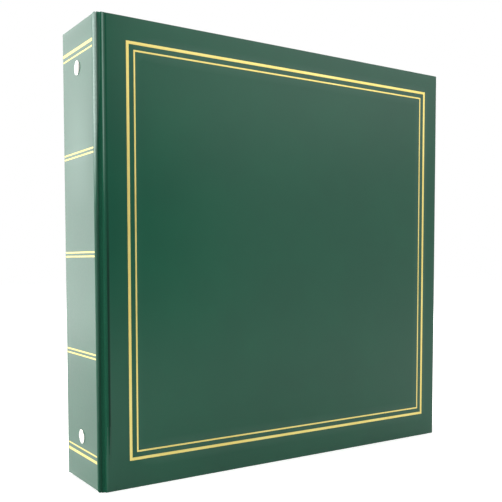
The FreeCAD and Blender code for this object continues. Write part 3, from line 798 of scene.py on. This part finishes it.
# Tips as rows of (radius, distance past the middle plane of the ring), from the wire's end to the axis.
PEG = np.array([[0.8, -0.1], [0.8, 0.2], [0.8, 0.85], [0.55, 1.0], [0.0, 1.0]])
SOCKET = np.array([[1.1, 0.1], [1.1, 1.3], [0.0, 1.3]])


def ring_half(side, node, pivot):
    """Half rings of one blade: a circle of WIRE carried round the ring's centre, cut flush under the blade.

    A line of the tube at angle u has radius r = RING_RADIUS + WIRE cos(u). It ends where it meets the
    blade's lower face n . p = k, at the turn atan2(ny, nx) + acos(k / r), counted from the tips.
    """
    low, high = extents(node)
    centre = high[0] - RING_RADIUS - WIRE
    u = np.linspace(0, 2 * np.pi, 25)[:-1]
    radius = RING_RADIUS + WIRE * np.cos(u)
    tilt = math.radians(BLADE_TILT)
    normal = np.array([math.cos(tilt), -math.sin(tilt)])
    face = normal @ (np.array([pivot[0] - centre, abs(pivot[1])])) - BLADE_HALF
    end = np.arctan2(normal[1], normal[0]) + np.arccos(np.clip(face / radius, -1, 1))
    start = np.arcsin(TIP_GAP / radius)
    turn = start + np.linspace(0, 1, 41)[:, None] * (end - start)
    tube = np.stack([centre + radius * np.cos(turn), side * radius * np.sin(turn),
                     np.broadcast_to(WIRE * np.sin(u), turn.shape)], axis=2)
    tip_radius, tip_out = np.split(PEG if side < 0 else SOCKET, 2, axis=1)
    tip = np.stack([centre + RING_RADIUS + tip_radius * np.cos(u),
                    np.broadcast_to(tip_out, (len(tip_out), len(u))),
                    tip_radius * np.sin(u)], axis=2)
    shell = np.concatenate([tip[::-1], tube])
    ring = np.arange(shell[..., 0].size).reshape(shell.shape[:2])
    ring[0] = ring[0, 0]
    faces = without_repeats(tube_quads(ring)) + [ring[-1].tolist()]
    points, faces = used_only(shell.reshape(-1, 3), faces)
    heights = np.linspace(low[2] + WIRE, high[2] - WIRE, RING_COUNT)
    return join_shapes([(points + np.array([0, 0, z]), faces) for z in heights])


for side, name in ((-1, "front"), (1, "back")):
    joint = next(j for j in frame["joints"] if j["name"] == name + "_ring_half_pivot")
    points, faces = ring_half(side, name + "_half_rings", np.array(joint["pos_m"]) / MM)
    make_piece(name + "_ring_wires", points, faces, nickel, name + "_ring_half", "nickel_plate",
               name + "_half_rings")


# Leaves: black stock card, punched with three slots, carries five rows of clear strips on each face.
# The strips are polyester film, glued along their lower edge, so stamps slide in from above.

# Stock card: dyed pulp with a dry, felted face. Its fibres are drawn at 0.7 mm, coarser than the real ones.
card, tree, shader, place = start_material("black_stock_card")
felt = add_node(tree, "TexNoise", {"Vector": place, "Scale": per_mm(0.7), "Detail": 5.0})
black = add_node(tree, "Mix", {0: felt.outputs["Fac"], 6: linear("#141416"), 7: linear("#232326")},
                 data_type="RGBA")
nap = add_node(tree, "Bump", {"Height": felt.outputs["Fac"], "Strength": 0.5, "Distance": 0.03 * MM})
set_sockets(tree, shader, {"Base Color": black.outputs[2], "Roughness": 0.8, "IOR": 1.45,
                           "Normal": nap.outputs["Normal"]})
dress(card, *[node for node in frame["nodes"] if node.endswith("_card")])

# Polyester film: drawn clear and glossy, with broad smears from handling.
clear_film, tree, shader, place = start_material("clear_polyester_film")
handling = add_node(tree, "TexNoise", {"Vector": place, "Scale": per_mm(30), "Detail": 3.0})
smear = add_node(tree, "MapRange", {"Value": handling.outputs["Fac"], "To Min": 0.03, "To Max": 0.14})
set_sockets(tree, shader, {"Base Color": linear("#f4f6f7"), "Roughness": smear.outputs[0], "IOR": 1.6,
                           "Transmission Weight": 1.0})
dress(clear_film, *[node for node in frame["nodes"] if node.endswith("_strips")])


# Studio: a pale floor, a white surround, six soft boxes and a dark flag.
# The surround shows white to the eye and in reflections, and lights the album evenly at a plain level.

FLOOR_HALF = 4.0
GLOW_REACH = (0.4, 2.0)
GLOW = (0.68, 0.95)
SURROUND = 0.14
WHITE = (1, 1, 1, 1)
scene = bpy.context.scene
scene.view_settings.view_transform = "Standard"


def stage_sheet(name, corners, material):
    """Flat sheet of the studio from its four corners in metres."""
    mesh = bpy.data.meshes.new(name)
    mesh.from_pydata(corners, [], [(0, 1, 2, 3)])
    mesh.materials.append(material)
    sheet = bpy.data.objects.new(name, mesh)
    scene.collection.objects.link(sheet)
    return sheet


def seen_rays(tree):
    """1 for rays that show a thing to the eye, straight or in gloss or glass, and 0 for rays that light."""
    rays = add_node(tree, "LightPath", {})
    open_view = add_node(tree, "Math", {0: rays.outputs["Is Camera Ray"], 1: rays.outputs["Is Glossy Ray"]},
                         operation="ADD", use_clamp=True)
    any_view = add_node(tree, "Math", {0: open_view.outputs[0], 1: rays.outputs["Is Transmission Ray"]},
                        operation="ADD", use_clamp=True)
    return any_view.outputs[0]


# Floor paint: matt and pale. Its own glow, which grows with the distance from the album, shows it white.
floor_paint, tree, shader, place = start_material("pale_floor_paint")
reach = add_node(tree, "VectorMath", {0: place}, operation="LENGTH")
glow = add_node(tree, "MapRange", {"Value": reach.outputs["Value"], "From Min": GLOW_REACH[0],
                                   "From Max": GLOW_REACH[1], "To Min": GLOW[0], "To Max": GLOW[1]})
lift_up = add_node(tree, "Math", {0: seen_rays(tree), 1: glow.outputs[0]}, operation="MULTIPLY")
set_sockets(tree, shader, {"Base Color": linear("#f2f2f0"), "Roughness": 0.9, "IOR": 1.45,
                           "Specular IOR Level": 0.0, "Emission Color": WHITE,
                           "Emission Strength": lift_up.outputs[0]})
stage_sheet("studio_floor", [(-FLOOR_HALF, -FLOOR_HALF, 0), (FLOOR_HALF, -FLOOR_HALF, 0),
                             (FLOOR_HALF, FLOOR_HALF, 0), (-FLOOR_HALF, FLOOR_HALF, 0)], floor_paint)

world = bpy.data.worlds.new("white_surround")
world.use_nodes = True
scene.world = world
tree = world.node_tree
level = add_node(tree, "MapRange", {"Value": seen_rays(tree), "To Min": SURROUND, "To Max": 1.0})
set_sockets(tree, tree.nodes["Background"], {"Color": WHITE, "Strength": level.outputs[0]})


def soft_box(name, place, aim, size, radiance):
    """Soft box at a point, facing another: an area light whose power is radiance * pi * area."""
    lamp = bpy.data.lights.new(name, "AREA")
    lamp.shape = "RECTANGLE"
    lamp.size, lamp.size_y = size
    lamp.energy = radiance * math.pi * size[0] * size[1]
    box = bpy.data.objects.new(name, lamp)
    scene.collection.objects.link(box)
    box.location = place
    way = np.array(aim) - np.array(place)
    tip_up = math.acos(-way[2] / np.linalg.norm(way))
    box.rotation_euler = (tip_up, 0, math.atan2(way[1], way[0]) - math.pi / 2)
    box.visible_camera = False


soft_box("soft_box_behind_spine", (-0.52, 1.0, 0.22), (-0.149, 0, 0.15), (0.8, 1.1), 1.98)
soft_box("soft_box_left", (-1.45, -0.78, 0.6), (-0.149, 0, 0.2), (1.6, 0.2), 16.5)
soft_box("soft_box_left_high", (-1.25, 0.15, 0.52), (-0.149, 0, 0.22), (0.5, 0.25), 7.0)
soft_box("soft_box_above_back", (-0.4, 0.75, 1.2), (-0.36, 0.3, 0.0), (0.8, 0.8), 8.0)
soft_box("soft_box_front_right", (0.75, -0.9, 0.8), (0.05, 0, 0.15), (0.8, 0.8), 1.3)
soft_box("soft_box_back_right", (1.3, 0.5, 0.9), (0.05, 0, 0.15), (0.9, 0.9), 4.0)

# Flag: black cloth on a frame in front of the album, which darkens a part of the cover's reflection.
flag_cloth, tree, shader, place = start_material("black_flag_cloth")
set_sockets(tree, shader, {"Base Color": linear("#1c1c1c"), "Roughness": 0.9, "IOR": 1.45})
flag = stage_sheet("studio_flag", [(-0.1, -1.0, 0.0), (0.45, -1.0, 0.0), (0.45, -1.0, 0.42),
                                   (-0.1, -1.0, 0.42)], flag_cloth)
flag.visible_camera = False
flag.visible_shadow = False

# Camera: its place, turn and lens were solved from the straight edges of the covers, the spine and the gold.
camera = bpy.data.cameras.new("camera")
camera.sensor_width = 36
camera.lens = 53.369
camera.shift_y = 0.09512
viewer = bpy.data.objects.new("camera", camera)
scene.collection.objects.link(viewer)
viewer.location = (-0.32522, -0.46503, 0.14749)
viewer.rotation_euler = (math.radians(87.018), math.radians(0.073), math.radians(-33.582))
scene.camera = viewer
